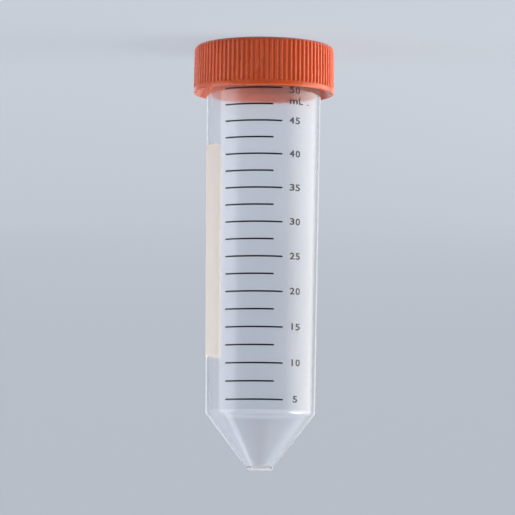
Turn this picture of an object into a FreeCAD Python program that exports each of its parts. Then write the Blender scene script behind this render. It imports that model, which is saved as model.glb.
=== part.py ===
import FreeCAD, Part
import math
import os

# A 50 ml conical tube with a ribbed screw cap, in millimetres.
#
# The tube and its cap are drawn standing on the tip: heights run along the axis from the flat of
# the tip, and angles round the axis run from the middle of the printed scale, to the right as the
# scale is read.  The finished solids are then turned over to stand on the flat top of the cap.

# Tube
TIP_RADIUS = 3.1
TIP_ROUNDING = 0.5
SHOULDER_HEIGHT = 14.35
SHOULDER_RADIUS = 14.13
SHOULDER_ROUNDING = 2.0
BODY_DRAFT = 0.5  # degrees that the body opens out, each side
NECK_MARGIN = 1.1  # from the middle of the top mark up to the start of the neck
NECK_LENGTH = 10.0
WALL = 1.1
FLOOR = 1.2
FLOOR_ROUNDING = 0.6
INNER_SHOULDER_ROUNDING = 1.5
LIP_ROUNDING = 0.25

# Thread on the neck
THREAD_PITCH = 3.2
THREAD_FOOT_MARGIN = 1.85  # plain neck below the thread
THREAD_MOUTH_MARGIN = 1.3  # plain neck above it
THREAD_RISE = 1.1  # how far its crest stands out of the neck
THREAD_ROOT_WIDTH = 1.7
THREAD_CREST_WIDTH = 0.8
THREAD_SINK = 0.4  # how deep its root runs into the neck, so the two are one piece

# Cap
RIM_OVERHANG = 0.85  # how far the rim of the cap reaches below the neck
CAP_TOP_THICKNESS = 1.6
SKIRT_WALL = 1.75  # at the top of the skirt, through a rib
CAP_TOP_ROUNDING = 1.5
CAP_DRAFT = 0.7  # degrees that the ribs open out towards the rim
BAND_HEIGHT = 1.3
BAND_PROUD = 0.05  # how far the plain band at the rim stands out of the ribs
RIM_ROUNDING = 0.35
RIM_EDGE = 0.6  # width of the flat edge at the rim
LEAD_IN = 2.2  # height over which the skirt narrows from its rim to its bore
SKIRT_CLEARANCE = 0.35  # from the crest of the neck's thread to the bore of the skirt
RIB_COUNT = 90
GROOVE_WIDTH = 0.6
GROOVE_DEPTH = 0.35

# Plug seal under the cap's top
PLUG_CLEARANCE = 0.15
PLUG_WALL = 1.0
PLUG_LENGTH = 3.0
PLUG_CHAMFER = 0.4

# Printed scale
FIRST_MARK_ML = 5.0
LAST_MARK_ML = 50.0
MARK_STEP_ML = 2.5
NUMBER_STEP_ML = 5.0
FIRST_MARK_RISE = 3.15  # above the shoulder
INK = 0.06
LINE_WIDTH = 0.42
LINE_START = -9.67  # along the surface, from the front to the left end of the first line
LONG_LINE_LENGTH = 15.5
SHORT_LINE_LENGTH = 13.15
PRINT_LEAN = -0.0135  # how far along the surface the print drifts for each millimetre of height

# Numbers beside the long lines
DIGIT_WIDTH = 1.4
DIGIT_HEIGHT = 1.75
DIGIT_ADVANCE = 1.78
STROKE = 0.24
NUMBER_GAP = 2.05  # from the end of a long line to its number
NUMBER_RISE = 0.23  # from the middle of a line up to the middle of its number
UNIT_DROP = 3.15  # from the middle of the top line down to the middle of the unit

# Panel for handwriting
PANEL_BOTTOM_ML = 11.25
PANEL_TOP_ML = 41.87
PANEL_START_ANGLE = -127.0
PANEL_END_ANGLE = -49.5

AXIS = FreeCAD.Vector(0, 0, 1)
ORIGIN = FreeCAD.Vector(0, 0, 0)

# Worked out from the sizes above
DRAFT_SLOPE = math.tan(math.radians(BODY_DRAFT))
CONE_SLOPE = (SHOULDER_RADIUS - TIP_RADIUS) / SHOULDER_HEIGHT
CONE_WALL_ACROSS = WALL * math.hypot(1.0, CONE_SLOPE)
FIRST_MARK_HEIGHT = SHOULDER_HEIGHT + FIRST_MARK_RISE


def body_radius(height):
    """Outer radius of the tapered body, or of its line carried on, at a height."""
    return SHOULDER_RADIUS + (height - SHOULDER_HEIGHT) * DRAFT_SLOPE


def mark_height(volume):
    """Height of a mark: the tapered bore holds the volume above the first mark up to it."""
    bore_radius = body_radius(FIRST_MARK_HEIGHT) - WALL
    above_first = 1000 * (volume - FIRST_MARK_ML)
    cube = bore_radius ** 3 + 3 * DRAFT_SLOPE * above_first / math.pi
    return FIRST_MARK_HEIGHT + (cube ** (1 / 3) - bore_radius) / DRAFT_SLOPE


NECK_HEIGHT = mark_height(LAST_MARK_ML) + NECK_MARGIN
MOUTH_HEIGHT = NECK_HEIGHT + NECK_LENGTH
NECK_RADIUS = body_radius(NECK_HEIGHT)
MOUTH_BORE_RADIUS = NECK_RADIUS - WALL
THREAD_START = NECK_HEIGHT + THREAD_FOOT_MARGIN + THREAD_ROOT_WIDTH / 2
THREAD_CLIMB = NECK_LENGTH - THREAD_FOOT_MARGIN - THREAD_MOUTH_MARGIN - THREAD_ROOT_WIDTH
SKIRT_BORE_RADIUS = NECK_RADIUS + THREAD_RISE + SKIRT_CLEARANCE
PLUG_RADIUS = MOUTH_BORE_RADIUS - PLUG_CLEARANCE
CAP_RIM_HEIGHT = NECK_HEIGHT - RIM_OVERHANG
CAP_TOP_HEIGHT = MOUTH_HEIGHT + CAP_TOP_THICKNESS
CAP_TOP_RADIUS = SKIRT_BORE_RADIUS + SKIRT_WALL
BAND_TOP_HEIGHT = CAP_RIM_HEIGHT + BAND_HEIGHT
NUMBER_OFFSET = LONG_LINE_LENGTH + NUMBER_GAP + (DIGIT_ADVANCE + DIGIT_WIDTH) / 2


def rib_radius(height):
    """Radius of the crests of the cap's ribs at a height."""
    return CAP_TOP_RADIUS + (CAP_TOP_HEIGHT - height) * math.tan(math.radians(CAP_DRAFT))


BAND_RADIUS = rib_radius(BAND_TOP_HEIGHT) + BAND_PROUD


def profile_point(radius, height):
    """A point of an outline in the plane through the axis."""
    return FreeCAD.Vector(radius, 0, height)


def rounded_corner(before, corner, after, rounding):
    """The arc that rounds a corner, tangent to both its sides."""
    to_before = (before - corner).normalize()
    to_after = (after - corner).normalize()
    half_angle = to_before.getAngle(to_after) / 2
    inward = (to_before + to_after).normalize()
    centre = corner + inward * (rounding / math.sin(half_angle))
    reach = rounding / math.tan(half_angle)
    start = corner + to_before * reach
    middle = centre - inward * rounding
    end = corner + to_after * reach
    return Part.Arc(start, middle, end)


def turned(corners):
    """A solid of revolution from (radius, height, rounding) corners in the plane through the axis."""
    points = [profile_point(radius, height) for radius, height, _ in corners]
    stretches = []
    for index, (_, _, rounding) in enumerate(corners):
        before = points[index - 1]
        after = points[(index + 1) % len(points)]
        if rounding > 0:
            arc = rounded_corner(before, points[index], after, rounding)
            stretches.append((arc.StartPoint, arc.EndPoint, [arc.toShape()]))
        else:
            stretches.append((points[index], points[index], []))
    edges = []
    for index, (start, _, arc_edges) in enumerate(stretches):
        side = Part.LineSegment(stretches[index - 1][1], start)
        edges.append(side.toShape())
        edges.extend(arc_edges)
    return Part.Face(Part.Wire(edges)).revolve(ORIGIN, AXIS, 360)


def neck_thread():
    """The raised thread, a trapezium carried up a helix round the neck."""
    crest_radius = NECK_RADIUS + THREAD_RISE
    root_radius = NECK_RADIUS - THREAD_SINK
    corners = [
        (root_radius, -THREAD_ROOT_WIDTH / 2),
        (crest_radius, -THREAD_CREST_WIDTH / 2),
        (crest_radius, THREAD_CREST_WIDTH / 2),
        (root_radius, THREAD_ROOT_WIDTH / 2),
    ]
    points = [profile_point(radius, height) for radius, height in corners]
    section = Part.makePolygon(points + points[:1])
    path = Part.Wire(Part.makeHelix(THREAD_PITCH, THREAD_CLIMB, NECK_RADIUS))
    thread = path.makePipeShell([section], True, True)
    thread.translate(AXIS * THREAD_START)
    return thread


def make_tube():
    """Thin-walled body with a conical end and a flat tip, open at a threaded neck."""
    inner_shoulder_height = (
        SHOULDER_RADIUS - WALL - SHOULDER_HEIGHT * DRAFT_SLOPE - TIP_RADIUS + CONE_WALL_ACROSS
    ) / (CONE_SLOPE - DRAFT_SLOPE)
    floor_radius = TIP_RADIUS + FLOOR * CONE_SLOPE - CONE_WALL_ACROSS
    shell = turned([
        (0, 0, 0),
        (TIP_RADIUS, 0, TIP_ROUNDING),
        (SHOULDER_RADIUS, SHOULDER_HEIGHT, SHOULDER_ROUNDING),
        (NECK_RADIUS, NECK_HEIGHT, 0),
        (NECK_RADIUS, MOUTH_HEIGHT, LIP_ROUNDING),
        (MOUTH_BORE_RADIUS, MOUTH_HEIGHT, LIP_ROUNDING),
        (MOUTH_BORE_RADIUS, NECK_HEIGHT, 0),
        (body_radius(inner_shoulder_height) - WALL, inner_shoulder_height, INNER_SHOULDER_ROUNDING),
        (floor_radius, FLOOR, FLOOR_ROUNDING),
        (0, FLOOR, 0),
    ])
    return shell.fuse(neck_thread())


def rib_grooves():
    """The grooves between the ribs: one upright slot, leaned with the ribs and set round the cap."""
    floor_radius = rib_radius(BAND_TOP_HEIGHT) - GROOVE_DEPTH
    length = 2 * (CAP_TOP_HEIGHT - BAND_TOP_HEIGHT)
    corner = FreeCAD.Vector(floor_radius, -GROOVE_WIDTH / 2, BAND_TOP_HEIGHT)
    groove = Part.makeBox(CAP_TOP_RADIUS, GROOVE_WIDTH, length, corner)
    hinge = FreeCAD.Vector(floor_radius, 0, BAND_TOP_HEIGHT)
    groove.rotate(hinge, FreeCAD.Vector(0, 1, 0), -CAP_DRAFT)
    grooves = []
    for index in range(RIB_COUNT):
        copy = groove.copy()
        copy.rotate(ORIGIN, AXIS, (index + 0.5) * 360 / RIB_COUNT)
        grooves.append(copy)
    return Part.makeCompound(grooves)


def make_cap():
    """Ribbed cap with a plain band at its rim and a plug ring that seals the mouth."""
    rim_bore_radius = BAND_RADIUS - RIM_EDGE
    band_step_height = BAND_TOP_HEIGHT - BAND_PROUD
    plug_end = MOUTH_HEIGHT - PLUG_LENGTH
    blank = turned([
        (0, MOUTH_HEIGHT, 0),
        (PLUG_RADIUS - PLUG_WALL, MOUTH_HEIGHT, 0),
        (PLUG_RADIUS - PLUG_WALL, plug_end, 0),
        (PLUG_RADIUS - PLUG_CHAMFER, plug_end, 0),
        (PLUG_RADIUS, plug_end + PLUG_CHAMFER, 0),
        (PLUG_RADIUS, MOUTH_HEIGHT, 0),
        (SKIRT_BORE_RADIUS, MOUTH_HEIGHT, 0),
        (SKIRT_BORE_RADIUS, CAP_RIM_HEIGHT + LEAD_IN, 0),
        (rim_bore_radius, CAP_RIM_HEIGHT, 0),
        (BAND_RADIUS, CAP_RIM_HEIGHT, RIM_ROUNDING),
        (BAND_RADIUS, band_step_height, 0),
        (rib_radius(BAND_TOP_HEIGHT), BAND_TOP_HEIGHT, 0),
        (CAP_TOP_RADIUS, CAP_TOP_HEIGHT, CAP_TOP_ROUNDING),
        (0, CAP_TOP_HEIGHT, 0),
    ])
    return blank.cut(rib_grooves())


def print_angle(along, height):
    """Angle of a point of the leaning print, a distance along the surface from its lines' left ends."""
    drift = PRINT_LEAN * (height - FIRST_MARK_HEIGHT)
    return math.degrees((LINE_START + drift + along) / body_radius(height))


def ink_patch(low, high, start_angle, end_angle):
    """A thin patch of ink on the body, between two heights and two angles."""
    corners = [
        (body_radius(low), low),
        (body_radius(low) + INK, low),
        (body_radius(high) + INK, high),
        (body_radius(high), high),
    ]
    points = [profile_point(radius, height) for radius, height in corners]
    face = Part.Face(Part.makePolygon(points + points[:1]))
    face.rotate(ORIGIN, AXIS, start_angle - 90)
    return face.revolve(ORIGIN, AXIS, end_angle - start_angle)


def mark_volumes(step):
    """Every printed volume, a step apart."""
    count = int(round((LAST_MARK_ML - FIRST_MARK_ML) / step)) + 1
    return [FIRST_MARK_ML + index * step for index in range(count)]


def make_scale_marks():
    """The lines of the scale, long ones at the numbers and short ones between."""
    lines = []
    for volume in mark_volumes(MARK_STEP_ML):
        middle = mark_height(volume)
        is_long = volume % NUMBER_STEP_ML == 0
        length = LONG_LINE_LENGTH if is_long else SHORT_LINE_LENGTH
        lines.append(ink_patch(middle - LINE_WIDTH / 2, middle + LINE_WIDTH / 2,
                               print_angle(0, middle), print_angle(length, middle)))
    return Part.makeCompound(lines)


def bar(x_start, z_start, x_end, z_end):
    """A straight stroke, square at both ends and half a stroke longer each way."""
    start = FreeCAD.Vector(x_start, 0, z_start)
    end = FreeCAD.Vector(x_end, 0, z_end)
    along = (end - start).normalize() * (STROKE / 2)
    across = FreeCAD.Vector(-along.z, 0, along.x)
    start = start - along
    end = end + along
    points = [start - across, end - across, end + across, start + across]
    return Part.Face(Part.makePolygon(points + points[:1]))


def bow(x_centre, z_centre, radius, start_angle, end_angle):
    """A curved stroke round a centre, anticlockwise between two angles."""
    def point(distance, angle):
        turn = math.radians(angle)
        return FreeCAD.Vector(x_centre + distance * math.cos(turn), 0,
                              z_centre + distance * math.sin(turn))

    outer = radius + STROKE / 2
    inner = radius - STROKE / 2
    middle_angle = (start_angle + end_angle) / 2
    edges = [
        Part.Arc(point(outer, start_angle), point(outer, middle_angle), point(outer, end_angle)),
        Part.LineSegment(point(outer, end_angle), point(inner, end_angle)),
        Part.Arc(point(inner, end_angle), point(inner, middle_angle), point(inner, start_angle)),
        Part.LineSegment(point(inner, start_angle), point(outer, start_angle)),
    ]
    return Part.Face(Part.Wire([edge.toShape() for edge in edges]))


def character_strokes(character):
    """The strokes of one character, as flat faces round its middle."""
    side = (DIGIT_WIDTH - STROKE) / 2
    top = (DIGIT_HEIGHT - STROKE) / 2
    cheek = top - side
    half = top / 2
    turn = side - half
    shelf = 0.15 * top
    bowl = (top + shelf) / 2
    shapes = {
        "0": [bow(0, cheek, side, 0, 180), bow(0, -cheek, side, 180, 360),
              bar(-side, -cheek, -side, cheek), bar(side, -cheek, side, cheek)],
        "1": [bar(0, -top, 0, top), bar(-half, half, 0, top)],
        "2": [bow(0, cheek, side, -30, 180), bar(-side, -top, side, -top),
              bar(side * math.cos(math.radians(30)), cheek - side / 2, -side, -top)],
        "3": [bar(-side, top, turn, top), bow(turn, half, half, -90, 90), bar(-side / 2, 0, turn, 0),
              bow(turn, -half, half, -90, 90), bar(-side, -top, turn, -top)],
        "4": [bar(half, -top, half, top), bar(half, top, -side, -half), bar(-side, -half, side, -half)],
        "5": [bar(-side, top, side, top), bar(-side, shelf, -side, top),
              bar(-side, shelf, side - bowl, shelf), bow(side - bowl, shelf - bowl, bowl, -90, 90),
              bar(-side, -top, side - bowl, -top)],
        "m": [bar(-side, -top, -side, shelf), bar(0, -top, 0, shelf), bar(side, -top, side, shelf),
              bar(-side, shelf, side, shelf)],
        "L": [bar(-side, -top, -side, top), bar(-side, -top, side, -top)],
    }
    return shapes[character]


def word_cutters(word, height):
    """Upright prisms of a word's characters, pointing in at the body at a height."""
    cutters = []
    for index, character in enumerate(word):
        along = (index - (len(word) - 1) / 2) * DIGIT_ADVANCE
        strokes = [face.extrude(FreeCAD.Vector(0, SHOULDER_RADIUS, 0))
                   for face in character_strokes(character)]
        prism = strokes[0].fuse(strokes[1:])
        prism.translate(FreeCAD.Vector(0, -body_radius(height) - SHOULDER_RADIUS / 2, height))
        prism.rotate(ORIGIN, AXIS, print_angle(NUMBER_OFFSET + along, height))
        cutters.append(prism)
    return cutters


def make_scale_numbers():
    """The numbers beside the long lines, and the unit under the top one, as raised ink."""
    words = [(f"{volume:.0f}", mark_height(volume) + NUMBER_RISE)
             for volume in mark_volumes(NUMBER_STEP_ML)]
    words.append(("mL", mark_height(LAST_MARK_ML) - UNIT_DROP))
    low = mark_height(FIRST_MARK_ML) - DIGIT_HEIGHT
    high = mark_height(LAST_MARK_ML) + DIGIT_HEIGHT
    film = ink_patch(low, high, print_angle(LONG_LINE_LENGTH, high),
                     print_angle(2 * NUMBER_OFFSET - LONG_LINE_LENGTH, low))
    cutters = []
    for word, height in words:
        cutters.extend(word_cutters(word, height))
    return Part.makeCompound([solid for cutter in cutters for solid in film.common(cutter).Solids])


def make_writing_panel():
    """The opaque panel for handwriting, on the side at the left of the scale."""
    return ink_patch(mark_height(PANEL_BOTTOM_ML), mark_height(PANEL_TOP_ML),
                     PANEL_START_ANGLE, PANEL_END_ANGLE)


def standing_placement():
    """Turns the upright tube over onto its cap, with the scale still facing the front."""
    turn = FreeCAD.Rotation(FreeCAD.Vector(0, 1, 0), 180)
    return FreeCAD.Placement(AXIS * CAP_TOP_HEIGHT, turn)


def make_parts():
    """Every piece in its resting place, by name."""
    parts = {
        "tube": make_tube(),
        "cap": make_cap(),
        "scale_marks": make_scale_marks(),
        "scale_numbers": make_scale_numbers(),
        "writing_panel": make_writing_panel(),
    }
    placement = standing_placement()
    for shape in parts.values():
        shape.transformShape(placement.toMatrix(), True)
    return parts


def main():
    os.makedirs("parts", exist_ok=True)
    for name, shape in make_parts().items():
        shape.exportStep(f"parts/{name}.step")
        print(name, len(shape.Solids), "solids", round(shape.Volume, 2), "mm3", shape.isValid())


main()
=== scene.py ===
import cmath
import math

import bmesh
import bpy
import numpy as np
from mathutils import Matrix, Vector


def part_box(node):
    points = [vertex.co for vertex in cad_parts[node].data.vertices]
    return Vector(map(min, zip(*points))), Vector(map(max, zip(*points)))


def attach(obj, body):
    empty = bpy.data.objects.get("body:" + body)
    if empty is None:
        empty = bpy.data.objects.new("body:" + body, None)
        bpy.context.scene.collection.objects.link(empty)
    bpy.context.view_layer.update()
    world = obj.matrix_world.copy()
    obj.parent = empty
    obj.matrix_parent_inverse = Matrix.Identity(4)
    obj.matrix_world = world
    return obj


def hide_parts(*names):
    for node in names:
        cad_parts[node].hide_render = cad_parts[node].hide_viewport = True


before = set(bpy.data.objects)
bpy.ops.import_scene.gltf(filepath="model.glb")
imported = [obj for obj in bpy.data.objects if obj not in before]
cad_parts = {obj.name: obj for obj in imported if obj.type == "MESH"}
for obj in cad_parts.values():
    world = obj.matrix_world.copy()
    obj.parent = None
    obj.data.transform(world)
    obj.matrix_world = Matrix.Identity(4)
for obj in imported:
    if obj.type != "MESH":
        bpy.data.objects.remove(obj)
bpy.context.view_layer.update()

# A 50 ml conical tube with a ribbed screw cap, standing on its cap.
#
# Shapes are drawn for the tube standing on its tip, in millimetres: a height runs along the axis
# from the flat of the tip, and an angle runs round the axis from the middle of the printed scale,
# to the right as the scale is read.  place() turns them over onto the cap and into metres.

MM = 0.001
TURN = 2 * math.pi
CREASE = math.radians(40.0)  # edges that turn by more than this are shaded sharp
TIP_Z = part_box("tube")[1].z
TOP_HEIGHT = TIP_Z / MM
MOUTH_HEIGHT = (TIP_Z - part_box("tube")[0].z) / MM
RIM_HEIGHT = (TIP_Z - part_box("cap")[1].z) / MM
MIDDLE_Z = TIP_Z / 2

# Tube
TIP_RADIUS = 3.1
TIP_ROUNDING = 0.3
SHOULDER_HEIGHT = 14.35
SHOULDER_RADIUS = 14.13
SHOULDER_ROUNDING = 2.0
BODY_SLOPE = math.tan(math.radians(0.5))
NECK_MARGIN = 1.1
WALL = 1.1
FLOOR = 1.2
FLOOR_ROUNDING = 0.6
FLOOR_TOLERANCE = 0.01  # faces this little over the floor still count as the floor
INNER_SHOULDER_ROUNDING = 1.5
LIP_ROUNDING = 0.25
TUBE_COLUMNS = 288  # points round the tube
TIP_RING = 1.0  # radius of the smallest ring of the tip
FLOOR_RING = 0.6  # and of the floor inside
BODY_RINGS_START = 20.0  # height of the first plain ring of the body
BODY_RING_STEP = 8.0

# Neck thread
THREAD_PITCH = 3.2
THREAD_FOOT_MARGIN = 1.85
THREAD_MOUTH_MARGIN = 1.3
THREAD_RISE = 1.1
THREAD_ROOT_WIDTH = 1.7
THREAD_CREST_WIDTH = 0.8
THREAD_RUN_OUT = 0.45  # angle in radians over which each end of a thread dies away
THREAD_START = TURN / 4
THREAD_RINGS_FOOT = 0.3  # plain neck below the fine rings that carry the thread
THREAD_RINGS_TOP = 0.5  # and above them
THREAD_RING_STEP = 0.11

# Cap
SKIRT_BORE_RADIUS = 16.3126
CAP_TOP_RADIUS = 18.0626
CAP_TOP_ROUNDING = 1.5
CAP_SLOPE = math.tan(math.radians(0.7))
BAND_HEIGHT = 1.3
BAND_PROUD = 0.04
BAND_RING = 0.1  # depth of the band's last ring under its top
RIM_ROUNDING = 0.35
RIM_INNER_ROUNDING = 0.15
RIM_EDGE = 0.6
LEAD_IN = 2.2
LEAD_IN_ROUNDING = 0.5
SKIRT_ROOT_ROUNDING = 0.4
UNDERSIDE_RING = 1.0  # radius of the smallest ring of the cap's underside
RIB_COUNT = 90
GROOVE_DEPTH = 0.35
GROOVE_FLOOR = 0.18  # share of a rib's pitch taken by the floor of its groove
RIB_CREST = 0.24  # share taken by its crest
GROOVE_FLANK = (1 - GROOVE_FLOOR - RIB_CREST) / 2
GROOVE_END = (-0.05, 0.25)  # over the band's top, the heights between which the grooves run out
GROOVE_END_STEP = 0.05
RIBS_START = 0.35  # over the band's top, the height of the first plain ring of the ribs
RIBS_END = 1.8  # under the cap's top, the depth of the last one
RIB_RING_STEP = 2.5
TOP_RING = 12.0
GATE_MARK = ((1.6, 0), (1.3, 0.12), (0.7, 0.12), (0.45, 0.03))  # radii and depths, in the cap's top
CAP_THREAD_RISE = 1.1
CAP_THREAD_ROOT_WIDTH = 1.5
CAP_THREAD_CREST_WIDTH = 0.7
CAP_THREAD_MARGIN = 1.2  # plain skirt left above and below the cap's thread
CAP_THREAD_STATIONS = 241
CAP_THREAD_SHOULDER = 0.12  # width of the rounding beside its crest
CAP_THREAD_SHOULDER_SHARE = 0.86  # share of the rise reached there
CAP_THREAD_CREST_INSET = 0.06
CAP_THREAD_SINK = 0.02  # depth of its foot in the skirt
CAP_THREAD_ROOT_DEPTH = 0.4  # depth of its back behind that
PLUG_CLEARANCE = 0.15
PLUG_WALL = 1.0
PLUG_LENGTH = 3.0
PLUG_CHAMFER = 0.4
PLUG_ROOT_ROUNDING = 0.3
PLUG_END_ROUNDING = 0.15
PLUG_CHAMFER_ROUNDING = 0.1

# Printed scale
FIRST_MARK_ML = 5.0
LAST_MARK_ML = 50.0
MARK_STEP_ML = 2.5
NUMBER_STEP_ML = 5.0
FIRST_MARK_RISE = 3.15
FIRST_MARK_HEIGHT = SHOULDER_HEIGHT + FIRST_MARK_RISE
LINE_WIDTH = 0.42
LINE_START = -9.67  # along the surface, from the front to the left end of the first line
LONG_LINE_LENGTH = 15.5
SHORT_LINE_LENGTH = 13.15
LINE_STATIONS = 73
LINE_END_REACH = 0.11  # length over which a line's end rounds off
LINE_END_WIDTH = 0.75  # share of the line's width that its end keeps
PRINT_LEAN = -0.0135  # how far along the surface the print drifts for each millimetre of height
DIGIT_WIDTH = 1.4
DIGIT_HEIGHT = 1.75
DIGIT_ADVANCE = 1.78  # from the middle of a digit to the middle of the next
DIGIT_BOLDNESS = 0.04  # how far the built-in font's outlines are grown
FONT_DIGIT_SHARE = 0.729  # a digit's height as a share of the font's size
FONT_CURVE_STEPS = 6
FONT_SPECK = 0.006  # corners of an outline closer than this become one
ONE_STRETCH = 1.3  # how much wider the narrow 1 is made
NUMBER_GAP = 2.05  # from the end of a long line to its number
NUMBER_OFFSET = LONG_LINE_LENGTH + NUMBER_GAP + (DIGIT_ADVANCE + DIGIT_WIDTH) / 2
NUMBER_RISE = 0.23  # of a number's middle over its line's
TOP_NUMBER_DROP = 0.35  # the 50 is printed low, clear of the cap's rim
UNIT_DROP = 3.15  # of the unit's middle under the top line's
UNIT = (("m", -0.36, 2.4), ("L", 1.84, 1.4), (".", 4.45, 0.5))  # with their middles and widths
INK = 0.035  # height of the ink over the wall
INK_SINK = 0.012  # how far it goes into the wall, so that no gap shows under it
INK_EDGE = 0.05  # width over which its edge rounds down
INK_EDGE_HEIGHT = 0.4  # share of its height that is left at the edge

# Writing panel
PANEL_BOTTOM_ML = 11.25
PANEL_TOP_ML = 41.87
PANEL_START = math.radians(-127.0)
PANEL_END = math.radians(-49.5)
PANEL_CORNER = 0.7
PANEL_CORNER_ROWS = 8
PANEL_ROWS_MARGIN = 2  # from the panel's ends to its first and last plain row
PANEL_ROWS = 24
PANEL_COLUMNS = 65


def body_radius(height):
    """Outer radius of the tapered body at a height: a straight line up from the shoulder."""
    return SHOULDER_RADIUS + (height - SHOULDER_HEIGHT) * BODY_SLOPE


def mark_height(volume):
    """Height of a mark: the tapered bore holds the volume above the first mark up to it."""
    bore = body_radius(FIRST_MARK_HEIGHT) - WALL
    above = 1000 * (volume - FIRST_MARK_ML)
    bore_there = np.cbrt(bore ** 3 + 3 * BODY_SLOPE * above / math.pi)
    return FIRST_MARK_HEIGHT + (bore_there - bore) / BODY_SLOPE


NECK_HEIGHT = mark_height(LAST_MARK_ML) + NECK_MARGIN
NECK_RADIUS = body_radius(NECK_HEIGHT)
BORE_RADIUS = NECK_RADIUS - WALL


def print_angle(along, height):
    """Angle of a point of the leaning print, a distance along from the left ends of its lines."""
    drift = PRINT_LEAN * (height - FIRST_MARK_HEIGHT)
    return (LINE_START + drift + along) / body_radius(height)


def rib_line(height):
    """Radius of the cap's ribs at a height: a straight line down from the top edge, outwards."""
    return CAP_TOP_RADIUS + (TOP_HEIGHT - height) * CAP_SLOPE


def place(radius, angle, height):
    """Points in metres, turned over onto the cap: x is minus radius times the sine of the angle, y
    is minus radius times its cosine, and z is the tip's height less the height."""
    radius, angle, height = np.broadcast_arrays(radius, angle, height)
    x = -radius * np.sin(angle) * MM
    y = -radius * np.cos(angle) * MM
    return np.stack([x, y, TIP_Z - height * MM], -1)


def smooth_step(value):
    """Rises from 0 to 1 as the value does, level at both ends: 3 v squared less 2 v cubed."""
    value = np.clip(value, 0, 1)
    return value * value * (3 - 2 * value)


def outline(corners, steps=8):
    """A profile through corners of (radius, height, rounding), as complex numbers with the radius
    as their real part.  A rounded corner becomes an arc tangent to both its sides: its centre lies
    on their bisector, at rounding / sin(half the corner's angle)."""
    points = [complex(radius, height) for radius, height, _ in corners]
    path = []
    for index, (_, _, rounding) in enumerate(corners):
        corner = points[index]
        if not rounding:
            path.append(corner)
            continue
        back = points[index - 1] - corner
        ahead = points[index + 1] - corner
        back, ahead = back / abs(back), ahead / abs(ahead)
        half = abs(cmath.phase(ahead / back)) / 2
        centre = corner + (back + ahead) / abs(back + ahead) * rounding / math.sin(half)
        start = corner + back * rounding / math.tan(half) - centre
        end = corner + ahead * rounding / math.tan(half) - centre
        sweep = cmath.phase(end / start)
        for step in range(steps + 1):
            path.append(centre + start * cmath.exp(1j * sweep * step / steps))
    return np.array(path)


def levels(radius_low, low, radius_high, high, step):
    """Corners set close together on a straight line between two (radius, height) points."""
    count = max(2, int(abs(high - low) / step) + 1)
    share = np.linspace(0, 1, count)
    radii = radius_low + (radius_high - radius_low) * share
    heights = low + (high - low) * share
    return [(radius, height, 0) for radius, height in zip(radii, heights)]


def make_piece(name, points, faces):
    """A mesh object from points and from arrays of faces with equal numbers of corners."""
    mesh = bpy.data.meshes.new(name)
    sides = np.concatenate([np.full(len(group), group.shape[1]) for group in faces])
    corners = np.concatenate([group.ravel() for group in faces])
    points = points.reshape(-1, 3)
    mesh.vertices.add(len(points))
    mesh.vertices.foreach_set("co", points.ravel())
    mesh.loops.add(len(corners))
    mesh.loops.foreach_set("vertex_index", corners)
    mesh.polygons.add(len(sides))
    mesh.polygons.foreach_set("loop_start", np.cumsum(sides) - sides)
    mesh.update(calc_edges=True)
    mesh.validate()
    mesh.shade_smooth()
    mesh.set_sharp_from_angle(angle=CREASE)
    piece = bpy.data.objects.new(name, mesh)
    bpy.context.scene.collection.objects.link(piece)
    return piece


def turned(name, radius, height, angles):
    """A closed surface round the axis: ring i, column j is at radius[i, j], height[i] and
    angles[j], and one point on the axis closes each end."""
    rings, columns = radius.shape
    body = place(radius, angles, height[:, None]).reshape(-1, 3)
    ends = place(np.zeros(2), np.zeros(2), height[[0, -1]])
    index = np.arange(rings * columns).reshape(rings, columns)
    beside = np.roll(index, -1, axis=1)
    quads = np.stack([index[:-1], beside[:-1], beside[1:], index[1:]], -1)
    first, last = rings * columns, rings * columns + 1
    fan = np.stack([np.full(columns, first), beside[0], index[0]], -1)
    last_fan = np.stack([index[-1], beside[-1], np.full(columns, last)], -1)
    return make_piece(name, np.concatenate([body, ends]), [quads.reshape(-1, 4), fan, last_fan])


def swept(name, loops):
    """Closed strips: loops[s, i, j] is point j of a closed section at station i of strip s.  The
    sections are joined along each strip, and a flat face closes both its ends."""
    strips, stations, sides = loops.shape[:3]
    index = np.arange(strips * stations * sides).reshape(strips, stations, sides)
    beside = np.roll(index, -1, axis=2)
    quads = np.stack([index[:, :-1], beside[:, :-1], beside[:, 1:], index[:, 1:]], -1)
    return make_piece(name, loops, [quads.reshape(-1, 4), index[:, 0, ::-1], index[:, -1]])


def neck_thread(angle, height):
    """How far the neck's thread stands out at an angle and a height.  The nearest turn of its
    middle line gives the distance across it, the rise falls from crest to root by a smooth step of
    that distance, and both ends die away."""
    start = NECK_HEIGHT + THREAD_FOOT_MARGIN + THREAD_ROOT_WIDTH / 2
    end = MOUTH_HEIGHT - THREAD_MOUTH_MARGIN - THREAD_ROOT_WIDTH / 2
    ahead = (angle - THREAD_START) / TURN
    turns = np.round((height - start) / THREAD_PITCH - ahead) + ahead
    away = np.abs(height - start - turns * THREAD_PITCH)
    flank_width = (THREAD_ROOT_WIDTH - THREAD_CREST_WIDTH) / 2
    flank = smooth_step((THREAD_ROOT_WIDTH / 2 - away) / flank_width)
    run = turns * TURN / THREAD_RUN_OUT
    run_left = (end - start) / THREAD_PITCH * TURN / THREAD_RUN_OUT - run
    return THREAD_RISE * flank * smooth_step(run) * smooth_step(run_left)


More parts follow.
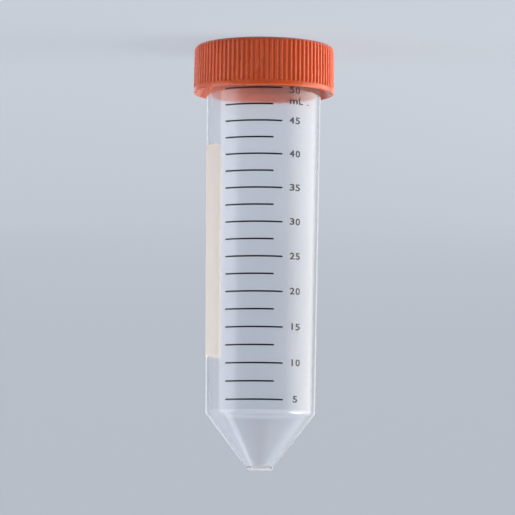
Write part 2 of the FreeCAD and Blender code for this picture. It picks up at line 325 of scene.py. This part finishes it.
def make_tube():
    """The tube: its outer skin from the tip up to the mouth, then its inner skin down to the floor,
    as one profile carried round the axis, with the thread raised on the neck."""
    cone_slope = (SHOULDER_RADIUS - TIP_RADIUS) / SHOULDER_HEIGHT
    cone_wall = WALL * math.hypot(1.0, cone_slope)
    inner_cone = TIP_RADIUS - cone_wall
    inner_body = body_radius(0) - WALL
    inner_shoulder = (inner_body - inner_cone) / (cone_slope - BODY_SLOPE)
    profile = outline(
        [(TIP_RING, 0, 0), (TIP_RADIUS, 0, TIP_ROUNDING),
         (SHOULDER_RADIUS, SHOULDER_HEIGHT, SHOULDER_ROUNDING)]
        + levels(body_radius(BODY_RINGS_START), BODY_RINGS_START, NECK_RADIUS, NECK_HEIGHT,
                 BODY_RING_STEP)
        + levels(NECK_RADIUS, NECK_HEIGHT + THREAD_RINGS_FOOT,
                 NECK_RADIUS, MOUTH_HEIGHT - THREAD_RINGS_TOP, THREAD_RING_STEP)
        + [(NECK_RADIUS, MOUTH_HEIGHT, LIP_ROUNDING), (BORE_RADIUS, MOUTH_HEIGHT, LIP_ROUNDING)]
        + levels(BORE_RADIUS, NECK_HEIGHT, body_radius(BODY_RINGS_START) - WALL, BODY_RINGS_START,
                 BODY_RING_STEP)
        + [(body_radius(inner_shoulder) - WALL, inner_shoulder, INNER_SHOULDER_ROUNDING),
           (inner_cone + FLOOR * cone_slope, FLOOR, FLOOR_ROUNDING), (FLOOR_RING, FLOOR, 0)])
    angles = np.linspace(0, TURN, TUBE_COLUMNS, endpoint=False)
    height = profile.imag[:, None]
    is_outside = np.arange(len(profile))[:, None] < np.argmax(height)
    radius = profile.real[:, None] + neck_thread(angles, height) * is_outside
    piece = turned("tube_shell", radius, profile.imag, angles)
    centres = np.empty(len(piece.data.polygons) * 3)
    piece.data.polygons.foreach_get("center", centres)
    depth = (TIP_Z - centres.reshape(-1, 3)[:, 2]) / MM
    is_floor = depth < FLOOR + FLOOR_TOLERANCE
    piece.data.polygons.foreach_set("material_index", is_floor.astype(np.int32))
    return piece


def rib_angles():
    """Angles of the points round the cap: ten to a rib, closest together on its flanks."""
    steps = np.array([0, 1, 2, 3]) / 3
    half = np.concatenate([[0], GROOVE_FLOOR / 2 + GROOVE_FLANK * steps, [0.5]])
    across = np.concatenate([half, 1 - half[-2:0:-1]])
    return ((np.arange(RIB_COUNT)[:, None] + across) * TURN / RIB_COUNT).ravel()


def groove(angle):
    """Depth share of the grooves round the cap, from the distance to the middle of the nearest one
    in rib pitches: 1 on its floor, 0 on the crests, and a smooth step between."""
    pitches = angle * RIB_COUNT / TURN
    away = np.abs(pitches - np.round(pitches))
    return smooth_step((GROOVE_FLOOR / 2 + GROOVE_FLANK - away) / GROOVE_FLANK)


def make_cap():
    """The cap: from the middle of its underside over the plug ring, down the skirt's bore, round
    the rim and up the ribs to the middle of its top.  In the grooves the radius is the lesser of
    the profile's and of the rib line less the groove's depth."""
    plug_radius = BORE_RADIUS - PLUG_CLEARANCE
    plug_bore = plug_radius - PLUG_WALL
    plug_end = MOUTH_HEIGHT - PLUG_LENGTH
    band_top = RIM_HEIGHT + BAND_HEIGHT
    band_radius = rib_line(band_top) + BAND_PROUD
    groove_low, groove_high = band_top + GROOVE_END[0], band_top + GROOVE_END[1]
    ribs_low, ribs_high = band_top + RIBS_START, TOP_HEIGHT - RIBS_END
    inside = outline(
        [(UNDERSIDE_RING, MOUTH_HEIGHT, 0), (plug_bore, MOUTH_HEIGHT, PLUG_ROOT_ROUNDING),
         (plug_bore, plug_end, PLUG_END_ROUNDING),
         (plug_radius - PLUG_CHAMFER, plug_end, PLUG_CHAMFER_ROUNDING),
         (plug_radius, plug_end + PLUG_CHAMFER, PLUG_END_ROUNDING),
         (plug_radius, MOUTH_HEIGHT, PLUG_ROOT_ROUNDING),
         (SKIRT_BORE_RADIUS, MOUTH_HEIGHT, SKIRT_ROOT_ROUNDING),
         (SKIRT_BORE_RADIUS, RIM_HEIGHT + LEAD_IN, LEAD_IN_ROUNDING),
         (band_radius - RIM_EDGE, RIM_HEIGHT, RIM_INNER_ROUNDING),
         (band_radius, RIM_HEIGHT, RIM_ROUNDING), (band_radius, band_top - BAND_RING, 0)], steps=4)
    outside = outline(
        levels(band_radius, groove_low, rib_line(groove_high), groove_high, GROOVE_END_STEP)
        + levels(rib_line(ribs_low), ribs_low, rib_line(ribs_high), ribs_high, RIB_RING_STEP)
        + [(CAP_TOP_RADIUS, TOP_HEIGHT, CAP_TOP_ROUNDING), (TOP_RING, TOP_HEIGHT, 0)]
        + [(radius, TOP_HEIGHT - depth, 0) for radius, depth in GATE_MARK], steps=16)
    profile = np.concatenate([inside, outside])
    angles = rib_angles()
    height = profile.imag[:, None]
    is_outside = np.arange(len(profile))[:, None] >= len(inside)
    run_out = smooth_step((height - groove_low) / (groove_high - groove_low))
    ribbed = rib_line(height) - GROOVE_DEPTH * groove(angles) * run_out
    radius = np.where(is_outside, np.minimum(profile.real[:, None], ribbed), profile.real[:, None])
    return turned("cap_shell", radius, profile.imag, angles)


def make_cap_thread():
    """The cap's inner thread: a rounded trapezium carried up a helix, half a pitch off the neck's
    thread, with its root in the skirt and both ends sinking into it."""
    start = RIM_HEIGHT + LEAD_IN + CAP_THREAD_MARGIN + CAP_THREAD_ROOT_WIDTH / 2
    end = MOUTH_HEIGHT - CAP_THREAD_MARGIN - CAP_THREAD_ROOT_WIDTH / 2
    neck_start = NECK_HEIGHT + THREAD_FOOT_MARGIN + THREAD_ROOT_WIDTH / 2
    start_angle = THREAD_START + ((start - neck_start) / THREAD_PITCH - 0.5) * TURN
    along = np.linspace(0, (end - start) / THREAD_PITCH * TURN, CAP_THREAD_STATIONS)[:, None]
    rise = (CAP_THREAD_RISE * smooth_step(along / THREAD_RUN_OUT)
            * smooth_step((along[-1] - along) / THREAD_RUN_OUT))
    root, crest = CAP_THREAD_ROOT_WIDTH / 2, CAP_THREAD_CREST_WIDTH / 2
    shoulder = crest + CAP_THREAD_SHOULDER
    flat = crest - CAP_THREAD_CREST_INSET
    across = np.array([-root, -shoulder, -flat, flat, shoulder, root, root, -root])
    lower = CAP_THREAD_SHOULDER_SHARE
    share = np.array([0, lower, 1, 1, lower, 0, 0, 0])
    is_back = np.arange(len(across)) >= len(across) - 2
    radius = (SKIRT_BORE_RADIUS + CAP_THREAD_SINK + CAP_THREAD_ROOT_DEPTH * is_back) - rise * share
    height = start + along / TURN * THREAD_PITCH + across
    loops = place(radius, start_angle + along, height)
    return swept("cap_thread", loops[None])


def make_scale_lines():
    """The printed lines: a low bead with rounded edges carried round the taper at each mark, long
    ones at the numbers and short ones between.  A line narrows at its ends by a quarter circle."""
    volumes = np.arange(FIRST_MARK_ML, LAST_MARK_ML + MARK_STEP_ML / 2, MARK_STEP_ML)
    middle = mark_height(volumes)[:, None]
    is_long = (volumes % NUMBER_STEP_ML == 0)[:, None]
    length = np.where(is_long, LONG_LINE_LENGTH, SHORT_LINE_LENGTH)
    share = np.linspace(0, 1, LINE_STATIONS)
    inset = np.minimum(share, 1 - share) * length
    arc = np.sqrt(1 - (1 - np.clip(inset / LINE_END_REACH, 0, 1)) ** 2)
    width = LINE_END_WIDTH + (1 - LINE_END_WIDTH) * arc
    half = LINE_WIDTH / 2
    across = np.array([-half, -half, -half + INK_EDGE, half - INK_EDGE, half, half])
    edge = INK * INK_EDGE_HEIGHT
    proud = np.array([-INK_SINK, edge, INK, INK, edge, -INK_SINK])
    height = middle[:, :, None] + across * width[:, :, None]
    angle = print_angle(share * length, middle)[:, :, None]
    loops = place(body_radius(height) + proud, angle, height)
    return swept("scale_lines", loops[:, :, ::-1])


def character_mesh(character):
    """One character's outline as a raised mesh, in millimetres round its middle.

    The built-in font's outline is grown all round: a corner moves by DIGIT_BOLDNESS times the sum
    of its two sides' outward normals over one plus their dot product, which is where both sides
    meet once moved out.
    """
    curve = bpy.data.curves.new(character, "FONT")
    curve.body = character
    curve.size = DIGIT_HEIGHT / FONT_DIGIT_SHARE
    curve.align_x = "CENTER"
    curve.extrude = (INK + INK_SINK) / 2
    curve.resolution_u = FONT_CURVE_STEPS
    holder = bpy.data.objects.new(character, curve)
    mesh = bpy.data.meshes.new_from_object(holder)
    shape = bmesh.new()
    shape.from_mesh(mesh)
    bmesh.ops.remove_doubles(shape, verts=shape.verts, dist=FONT_SPECK)
    bmesh.ops.recalc_face_normals(shape, faces=shape.faces)
    shape.verts.index_update()
    points, faces = [], [[corner.index for corner in face.verts] for face in shape.faces]
    for corner in shape.verts:
        one, other = (face.normal for face in corner.link_faces if face.normal.xy.length > 0.5)
        points.append(corner.co + (one + other) * (DIGIT_BOLDNESS / (1 + one.dot(other))))
    shape.free()
    bpy.data.objects.remove(holder)
    bpy.data.curves.remove(curve)
    bpy.data.meshes.remove(mesh)
    return np.array(points), faces


def printed_characters():
    """Each printed character with its middle along the surface, its width and its height."""
    top = mark_height(LAST_MARK_ML)
    printed = [(character, middle, width, top - UNIT_DROP) for character, middle, width in UNIT]
    for volume in np.arange(FIRST_MARK_ML, LAST_MARK_ML + 1, NUMBER_STEP_ML):
        height = mark_height(volume) + NUMBER_RISE
        if volume == LAST_MARK_ML:
            height = top - TOP_NUMBER_DROP
        word = f"{volume:.0f}"
        for index, character in enumerate(word):
            middle = (index - (len(word) - 1) / 2) * DIGIT_ADVANCE
            printed.append((character, middle, DIGIT_WIDTH, height))
    return printed


def make_scale_digits():
    """The numbers beside the long lines and the unit under the top one.  A flat character goes onto
    the taper: its x becomes an angle of x over the body's radius, its y a height, and its z stands
    off the wall."""
    printed = printed_characters()
    shapes = {character: character_mesh(character) for character, *_ in printed}
    zero, _ = shapes["0"]
    line = (zero[:, 1].max() + zero[:, 1].min()) / 2
    grow = DIGIT_HEIGHT / np.ptp(zero[:, 1])
    points, faces, start = [], [], 0
    for character, middle, width, height in printed:
        flat, corners = shapes[character]
        stretch = ONE_STRETCH if character == "1" else width / np.ptp(flat[:, 0])
        angle = print_angle(NUMBER_OFFSET + middle + flat[:, 0] * stretch, height)
        up = height + (flat[:, 1] - line) * grow
        proud = flat[:, 2] + (INK - INK_SINK) / 2
        points.append(place(body_radius(up) + proud, angle, up))
        faces.extend([start + corner for corner in face] for face in corners)
        start += len(flat)
    mesh = bpy.data.meshes.new("scale_digits")
    mesh.from_pydata(np.concatenate(points).tolist(), [], faces)
    mesh.update()
    piece = bpy.data.objects.new("scale_digits", mesh)
    bpy.context.scene.collection.objects.link(piece)
    return piece


def make_writing_patch():
    """The panel for handwriting: rows of a low plate round the taper, each row shortened near the
    top and bottom by what the rounded corners take,
    corner - sqrt(corner^2 - (corner - distance)^2)."""
    low, high = mark_height(PANEL_BOTTOM_ML), mark_height(PANEL_TOP_ML)
    near_end = PANEL_CORNER * (1 - np.cos(np.linspace(0, TURN / 4, PANEL_CORNER_ROWS)))
    plain = np.linspace(low + PANEL_ROWS_MARGIN, high - PANEL_ROWS_MARGIN, PANEL_ROWS)
    height = np.concatenate([low + near_end, plain, high - near_end[::-1]])[:, None]
    distance = np.clip(np.minimum(height - low, high - height), 0, PANEL_CORNER)
    inset = PANEL_CORNER - np.sqrt(PANEL_CORNER ** 2 - (PANEL_CORNER - distance) ** 2)
    inset = inset / body_radius(height)
    share = np.linspace(0, 1, PANEL_COLUMNS)
    angle = PANEL_START + inset + (PANEL_END - PANEL_START - 2 * inset) * share
    top = place(body_radius(height) + INK, angle, height)
    under = place(body_radius(height) - INK_SINK, angle, height)
    loops = np.concatenate([top, under[:, ::-1]], axis=1)
    return swept("writing_patch", loops[None])


# Materials

NOISE_MIDDLE = (0.3, 0.7)  # between these lies most of what a noise gives


def srgb(code):
    """Linear colour of an sRGB hex value."""
    parts = np.array([int(code[first:first + 2], 16) for first in (1, 3, 5)]) / 255
    linear = np.where(parts <= 0.04045, parts / 12.92, ((parts + 0.055) / 1.055) ** 2.4)
    return (*linear, 1.0)


def add_node(tree, kind, inputs=None, **settings):
    """Adds a node; inputs holds a value or another node's output for each named socket."""
    node = tree.nodes.new("ShaderNode" + kind)
    for name, value in settings.items():
        setattr(node, name, value)
    for name, value in (inputs or {}).items():
        if isinstance(value, bpy.types.NodeSocket):
            tree.links.new(value, node.inputs[name])
        else:
            node.inputs[name].default_value = value
    return node


def new_material(name):
    """An empty material, its tree and its Object coordinates."""
    material = bpy.data.materials.new(name)
    material.use_nodes = True
    tree = material.node_tree
    tree.nodes.clear()
    return material, tree, add_node(tree, "TexCoord").outputs["Object"]


def finish_material(tree, lamp_share=0.0, **inputs):
    """The material's one Principled shader, with its sockets set, into its output.  The lamp share
    of a lamp's light goes straight through a clear material, or it would stay dark behind it."""
    names = {name.replace("_", " "): value for name, value in inputs.items()}
    surface = add_node(tree, "BsdfPrincipled", names).outputs["BSDF"]
    if lamp_share:
        rays = add_node(tree, "LightPath").outputs["Is Shadow Ray"]
        share = add_node(tree, "Math", {0: rays, 1: lamp_share}, operation="MULTIPLY").outputs[0]
        through = add_node(tree, "BsdfTransparent").outputs[0]
        surface = add_node(tree, "MixShader", {0: share, 1: surface, 2: through}).outputs[0]
    add_node(tree, "OutputMaterial", {"Surface": surface})


def noise(tree, point, size_mm, stretch=(1, 1, 1), detail=2.0):
    """A noise with features of a size in millimetres, stretched along the axes."""
    scale = [1 / (size_mm * MM * factor) for factor in stretch]
    scaled = add_node(tree, "Mapping", {"Vector": point, "Scale": scale}).outputs["Vector"]
    cloud = add_node(tree, "TexNoise", {"Vector": scaled, "Scale": 1.0, "Detail": detail})
    return cloud.outputs["Fac"]


def between(tree, share, low, high):
    """Runs from low to high as a noise runs over the middle of its range."""
    start, end = NOISE_MIDDLE
    return add_node(tree, "MapRange", {"Value": share, "From Min": start, "From Max": end,
                                       "To Min": low, "To Max": high}).outputs["Result"]


def blend_colours(tree, share, first, second):
    """Mixes two sRGB hex colours by a share."""
    made = add_node(tree, "Mix", data_type="RGBA")
    tree.links.new(share, made.inputs[0])
    made.inputs[6].default_value = srgb(first)
    made.inputs[7].default_value = srgb(second)
    return made.outputs[2]


def natural_polypropylene(name, clearness):
    """Natural polypropylene, injection moulded and left uncoloured: see-through with a milky haze
    that takes the rest of its clearness, glossy, with faint streaks of flow along the tube."""
    material, tree, point = new_material(name)
    cloud = noise(tree, point, 22.0, (1, 1, 2))
    streaks = noise(tree, point, 1.6, (1, 1, 40), 1.0)
    bump = add_node(tree, "Bump", {"Height": streaks, "Strength": 0.25, "Distance": 0.00002})
    finish_material(
        tree,
        Base_Color=blend_colours(tree, cloud, "#f3f6fa", "#fbfcfe"),
        Roughness=between(tree, cloud, 0.08, 0.13),
        Normal=bump.outputs["Normal"],
        IOR=1.49,
        Transmission_Weight=clearness,
        lamp_share=0.9,
    )
    return material


def orange_polyethylene():
    """Orange polyethylene, injection moulded in a lightly sparked tool: satin, a little light goes
    in at the edges of the ribs, and the colour swirls faintly where the melt flowed."""
    material, tree, point = new_material("orange_polyethylene_moulded")
    swirl = noise(tree, point, 9.0, (1, 1, 2), 3.0)
    grain = noise(tree, point, 0.22, detail=2.0)
    bump = add_node(tree, "Bump", {"Height": grain, "Strength": 0.35, "Distance": 0.00003})
    finish_material(
        tree,
        Base_Color=blend_colours(tree, swirl, "#d8551d", "#e26128"),
        Roughness=between(tree, swirl, 0.22, 0.3),
        Normal=bump.outputs["Normal"],
        IOR=1.51,
        Subsurface_Weight=0.4,
        Subsurface_Radius=(1.0, 0.25, 0.06),
        Subsurface_Scale=0.0007,
    )
    return material


def black_ink():
    """Black pad-printing ink: a thin satin film, slightly uneven in how well it covers."""
    material, tree, point = new_material("black_ink_printed")
    cover = noise(tree, point, 0.5, detail=3.0)
    finish_material(
        tree,
        Base_Color=blend_colours(tree, cover, "#0d0e14", "#22232b"),
        Roughness=between(tree, cover, 0.35, 0.5),
        IOR=1.5,
    )
    return material


def white_ink():
    """Warm white screen-printing ink for handwriting: matt and chalky, with a fine grain."""
    material, tree, point = new_material("white_ink_screen_printed")
    cloud = noise(tree, point, 6.0, detail=3.0)
    grain = noise(tree, point, 0.18, detail=2.0)
    bump = add_node(tree, "Bump", {"Height": grain, "Strength": 0.4, "Distance": 0.00002})
    finish_material(
        tree,
        Base_Color=blend_colours(tree, cloud, "#f3e5da", "#f8ece2"),
        Roughness=between(tree, grain, 0.7, 0.85),
        Normal=bump.outputs["Normal"],
        IOR=1.5,
        Subsurface_Weight=0.4,
        Subsurface_Radius=(1.0, 0.9, 0.8),
        Subsurface_Scale=0.0004,
    )
    return material


def fit(piece, material, body, node):
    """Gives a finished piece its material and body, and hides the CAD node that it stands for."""
    piece.data.materials.append(material)
    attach(piece, body)
    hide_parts(node)


clear = natural_polypropylene("natural_polypropylene_thin_wall", 0.965)
milky = natural_polypropylene("natural_polypropylene_thick_floor", 0.45)
orange, black, white = orange_polyethylene(), black_ink(), white_ink()
tube = make_tube()
fit(tube, clear, "tube", "tube")
tube.data.materials.append(milky)
fit(make_cap(), orange, "cap", "cap")
fit(make_cap_thread(), orange, "cap", "cap")
fit(make_scale_lines(), black, "tube", "scale_marks")
fit(make_scale_digits(), black, "tube", "scale_numbers")
fit(make_writing_patch(), white, "tube", "writing_panel")

# Studio

PALE = "#ccd3de"
FLOOR_SIZE = 60.0
FLOOR_PLAIN_SHARE = 0.75
WORLD_STRENGTH = 0.18
MIRRORED_DIM = 0.3  # strength of the world that is mirrored from the camera's side
MIRRORED_DIM_END = -0.7  # the world's Y up to which it is as dim as that
MIRRORED_FULL_START = 0.3  # and from which it has its full strength
CAMERA_PITCH = 0.0955  # angles in radians
CAMERA_ROLL = 0.0115
CAMERA_LENS = 247.72
CAMERA_SENSOR = 36.0
CAMERA_PLACE = (0.001154, -0.91107, TIP_Z + 0.03239)


def shown_rays(tree):
    """1 for rays from the camera, from a mirror or through clear plastic, 0 for all others."""
    rays = add_node(tree, "LightPath").outputs
    first = add_node(tree, "Math", {0: rays["Is Camera Ray"], 1: rays["Is Glossy Ray"]},
                     operation="MAXIMUM").outputs[0]
    return add_node(tree, "Math", {0: first, 1: rays["Is Transmission Ray"]},
                    operation="MAXIMUM").outputs[0]


def make_floor():
    """A large pale floor.  Most of what the camera sees of it is its plain colour and the rest is
    lit, so that it keeps the shadow without a bright pool under the lamps.  It isn't mirrored, so
    glossy surfaces show the even world in its place."""
    points = np.array([(-1, -1, 0), (1, -1, 0), (1, 1, 0), (-1, 1, 0)]) * FLOOR_SIZE / 2
    floor = make_piece("studio_floor", points, [np.array([[0, 1, 2, 3]])])
    material, tree, _ = new_material("matt_floor_paint")
    lit = add_node(tree, "BsdfDiffuse", {"Color": srgb(PALE)}).outputs[0]
    plain = add_node(tree, "Emission", {"Color": srgb(PALE)}).outputs[0]
    share = add_node(tree, "Math", {0: shown_rays(tree), 1: FLOOR_PLAIN_SHARE},
                     operation="MULTIPLY").outputs[0]
    mixed = add_node(tree, "MixShader", {0: share, 1: lit, 2: plain}).outputs[0]
    add_node(tree, "OutputMaterial", {"Surface": mixed})
    floor.data.materials.append(material)
    floor.visible_glossy = False


def make_world():
    """Even pale light from all round.  What is seen of it has the floor's own colour, and what
    glossy surfaces mirror of it is dimmer on the camera's side, as in a room lit round its
    backdrop."""
    world = bpy.data.worlds.new("studio")
    bpy.context.scene.world = world
    world.use_nodes = True
    tree = world.node_tree
    tree.nodes.clear()
    light = add_node(tree, "Background", {"Color": srgb("#eef1f6"), "Strength": WORLD_STRENGTH})
    direction = add_node(tree, "TexCoord").outputs["Generated"]
    ahead = add_node(tree, "SeparateXYZ", {"Vector": direction}).outputs["Y"]
    mirrored = add_node(tree, "LightPath").outputs["Is Glossy Ray"]
    least = add_node(tree, "MapRange", {"Value": mirrored, "To Min": 1.0, "To Max": MIRRORED_DIM})
    strength = add_node(tree, "MapRange", {"Value": ahead, "From Min": MIRRORED_DIM_END,
                                           "From Max": MIRRORED_FULL_START,
                                           "To Min": least.outputs["Result"]},
                        interpolation_type="SMOOTHSTEP").outputs["Result"]
    seen = add_node(tree, "Background", {"Color": srgb(PALE), "Strength": strength})
    mixed = add_node(tree, "MixShader", {0: shown_rays(tree), 1: light.outputs[0],
                                         2: seen.outputs[0]}).outputs[0]
    add_node(tree, "OutputWorld", {"Surface": mixed})


def soft_box(name, bearing, elevation, distance, size, fades, radiance, colour):
    """An area lamp that faces the tube.  Its bearing runs from the camera's side of the tube round
    to its right, its elevation up from the level of the tube's middle, both in degrees, and its
    size is its width and height.  It fades out over a share of its width on the camera's side, a
    share on the far side and a share of its height at the top and bottom."""
    lamp = bpy.data.lights.new(name, "AREA")
    lamp.shape = "RECTANGLE"
    lamp.size, lamp.size_y = size
    lamp.energy = radiance * size[0] * size[1] * math.pi
    lamp.use_nodes = True
    tree = lamp.node_tree
    tree.nodes.clear()
    spot = add_node(tree, "NewGeometry").outputs["Parametric"]
    sides = add_node(tree, "SeparateXYZ", {"Vector": spot}).outputs
    near, far = (1, 0) if bearing > 0 else (0, 1)
    light = 1.0
    for side, edge, other, fade in (("X", near, far, fades[0]), ("X", far, near, fades[1]),
                                    ("Y", 0, 1, fades[2]), ("Y", 1, 0, fades[2])):
        full = edge + (other - edge) * fade
        fading = add_node(tree, "MapRange", {"Value": sides[side], "From Min": edge,
                                             "From Max": full},
                          interpolation_type="SMOOTHSTEP").outputs["Result"]
        light = add_node(tree, "Math", {0: light, 1: fading}, operation="MULTIPLY").outputs[0]
    glow = add_node(tree, "Emission", {"Color": srgb(colour), "Strength": light}).outputs[0]
    add_node(tree, "OutputLight", {"Surface": glow})
    turn, rise = math.radians(bearing), math.radians(elevation)
    level = math.cos(rise)
    back = Vector((-math.sin(turn) * level, -math.cos(turn) * level, math.sin(rise)))
    holder = bpy.data.objects.new(name, lamp)
    holder.matrix_world = (Matrix.Translation(back * distance + Vector((0, 0, MIDDLE_Z)))
                           @ back.to_track_quat("Z", "Y").to_matrix().to_4x4())
    holder.visible_camera = False
    holder.visible_transmission = False  # or it would show as a white card behind the clear wall
    bpy.context.scene.collection.objects.link(holder)


def make_camera():
    """The camera looks along +Y from above the tip and is turned upside down, so that the cap is at
    the top of the picture."""
    ahead = Vector((0, math.cos(CAMERA_PITCH), -math.sin(CAMERA_PITCH)))
    up = Vector((0, -math.sin(CAMERA_PITCH), -math.cos(CAMERA_PITCH)))
    right = Vector((-1, 0, 0))
    across = right * math.cos(CAMERA_ROLL) + up * math.sin(CAMERA_ROLL)
    upward = up * math.cos(CAMERA_ROLL) - right * math.sin(CAMERA_ROLL)
    turn = Matrix((across, upward, -ahead)).transposed().to_4x4()
    camera = bpy.data.cameras.new("camera")
    camera.sensor_width = CAMERA_SENSOR
    camera.lens = CAMERA_LENS
    holder = bpy.data.objects.new("camera", camera)
    holder.matrix_world = Matrix.Translation(CAMERA_PLACE) @ turn
    bpy.context.scene.collection.objects.link(holder)
    bpy.context.scene.camera = holder


make_floor()
make_world()
# Name, bearing, elevation, distance, size, fades, radiance and colour.
soft_box("key", 92, 0, 0.5, (1.05, 1.2), (0.52, 0.3, 0.4), 3.6, "#fff6ea")
soft_box("high_key", 85, 30, 0.5, (0.46, 0.29), (0.4, 0.4, 0.4), 9.0, "#fff3e4")
soft_box("front", 18, 40, 0.6, (0.7, 0.45), (0.4, 0.4, 0.4), 0.8, "#fbfaf8")
soft_box("fill", -71, 0, 0.6, (0.63, 0.75), (0.38, 0.12, 0.4), 3.0, "#f2f4fb")
soft_box("high_fill", -80, 30, 0.5, (0.46, 0.29), (0.4, 0.4, 0.4), 3.6, "#fbf7f2")
soft_box("strip", -100, 52, 0.5, (0.14, 0.25), (0.4, 0.4, 0.4), 3.0, "#f6f4f0")
soft_box("rim_right", 157, 0, 0.5, (0.18, 0.6), (0.4, 0.4, 0.4), 0.9, "#fff6ea")
soft_box("rim_left", -157, 0, 0.5, (0.18, 0.6), (0.4, 0.4, 0.4), 1.0, "#eef3ff")
make_camera()
bpy.context.scene.view_settings.view_transform = "Standard"
